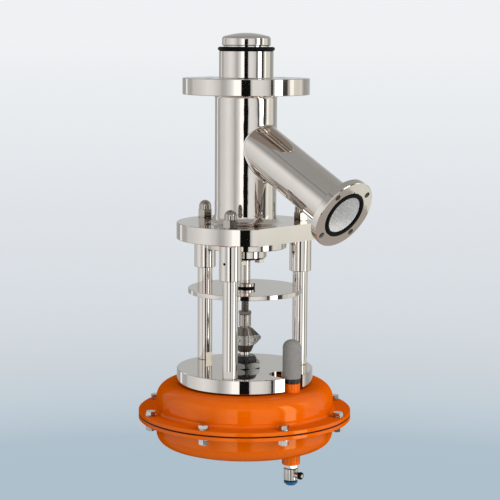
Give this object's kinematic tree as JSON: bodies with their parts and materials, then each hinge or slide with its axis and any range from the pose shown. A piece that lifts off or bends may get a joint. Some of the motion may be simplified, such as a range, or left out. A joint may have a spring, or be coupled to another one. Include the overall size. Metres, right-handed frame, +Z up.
{
  "type": "bottom_valve",
  "caption": "Pneumatic tank bottom valve in polished steel: domed plug, slanted flanged outlet, open column yoke and an orange diaphragm actuator.",
  "frame": {"origin": "centre of the tank flange's upper face", "axes": "+Z up along the stem into the tank, +X towards the side that the slanted outlet points to"},
  "size_m": [0.3669, 0.3098, 0.6413],
  "materials": {
    "polished_steel": "polished",
    "satin_steel": "fine turned",
    "plain_steel": "satin",
    "spring_steel": "satin",
    "orange_paint": "gloss",
    "black_rubber": "matte",
    "white_seal": "matte",
    "bronze": "satin",
    "black_plastic": "matte",
    "grey_porous": "matte",
    "blue_plastic": "gloss"
  },
  "bodies": {
    "valve": {"seat_ring": "black_rubber", "tank_flange": "satin_steel", "body_tube": "satin_steel", "outlet_tube": "satin_steel", "outlet_flange": "satin_steel", "outlet_gasket": "black_rubber", "base_flange": "satin_steel", "dome_nuts": "plain_steel", "seal_cartridge": "satin_steel", "cartridge_orings": "black_rubber", "stem_lip_seal": "white_seal", "stem_guide_bush": "bronze", "packing_rings": "white_seal", "bonnet": "satin_steel", "bonnet_screws": "plain_steel", "gland": "satin_steel", "gland_washers": "plain_steel", "gland_bolts": "plain_steel", "column_rear": "polished_steel", "column_front": "polished_steel", "column_side": "polished_steel", "stop_sleeve_rear": "satin_steel", "stop_sleeve_front": "satin_steel", "stop_sleeve_side": "satin_steel", "stem_wiper": "black_rubber", "plate_nut": "plain_steel", "yoke_plate": "satin_steel", "actuator_hub": "satin_steel", "hub_guide_bush": "bronze", "hub_rod_seal": "black_rubber", "upper_shell": "orange_paint", "lower_shell": "orange_paint", "diaphragm": "black_rubber", "outer_spring": "spring_steel", "inner_spring": "spring_steel", "rim_bolts": "plain_steel", "rim_washers": "plain_steel", "rim_nuts": "plain_steel", "silencer": "grey_porous", "silencer_collar": "black_plastic", "fitting_stud": "plain_steel"},
    "stem": {"plug": "polished_steel", "valve_stem": "polished_steel", "guide_disc": "satin_steel", "disc_washer": "black_rubber", "disc_slotted_nut": "polished_steel", "disc_lower_nut": "plain_steel", "coupling_lock_nut": "plain_steel", "coupling_link": "polished_steel", "coupling_half_front": "plain_steel", "coupling_half_rear": "plain_steel", "coupling_screws": "plain_steel", "actuator_stem": "polished_steel", "piston_plate": "satin_steel", "backing_plate": "satin_steel", "piston_nut": "plain_steel"},
    "fitting": {"fitting_body": "plain_steel", "fitting_arm_nut": "black_rubber"},
    "flow_needle": {"flow_screw": "plain_steel"},
    "collar": {"release_collar": "blue_plastic"}
  },
  "joints": [
    {"name": "plug_lift", "type": "slide", "parent": "valve", "child": "stem", "axis": [0, 0, 1], "range_m": [0, 0.02], "stiffness_N_per_m": 5000, "springref_m": -0.005, "deforming": ["outer_spring", "inner_spring", "diaphragm"]},
    {"name": "fitting_swivel", "type": "hinge", "parent": "valve", "child": "fitting", "pos_m": [0.0935, 0, -0.5615], "axis": [0, 0, 1], "continuous": true},
    {"name": "flow_screw_turn", "type": "hinge", "parent": "fitting", "child": "flow_needle", "pos_m": [0.1105, 0, -0.56145], "axis": [1, 0, 0], "range_deg": [0, 1080]},
    {"name": "release_press", "type": "slide", "parent": "fitting", "child": "collar", "axis": [0, 0, 1], "range_m": [0, 0.0012], "stiffness_N_per_m": 400}
  ]
}
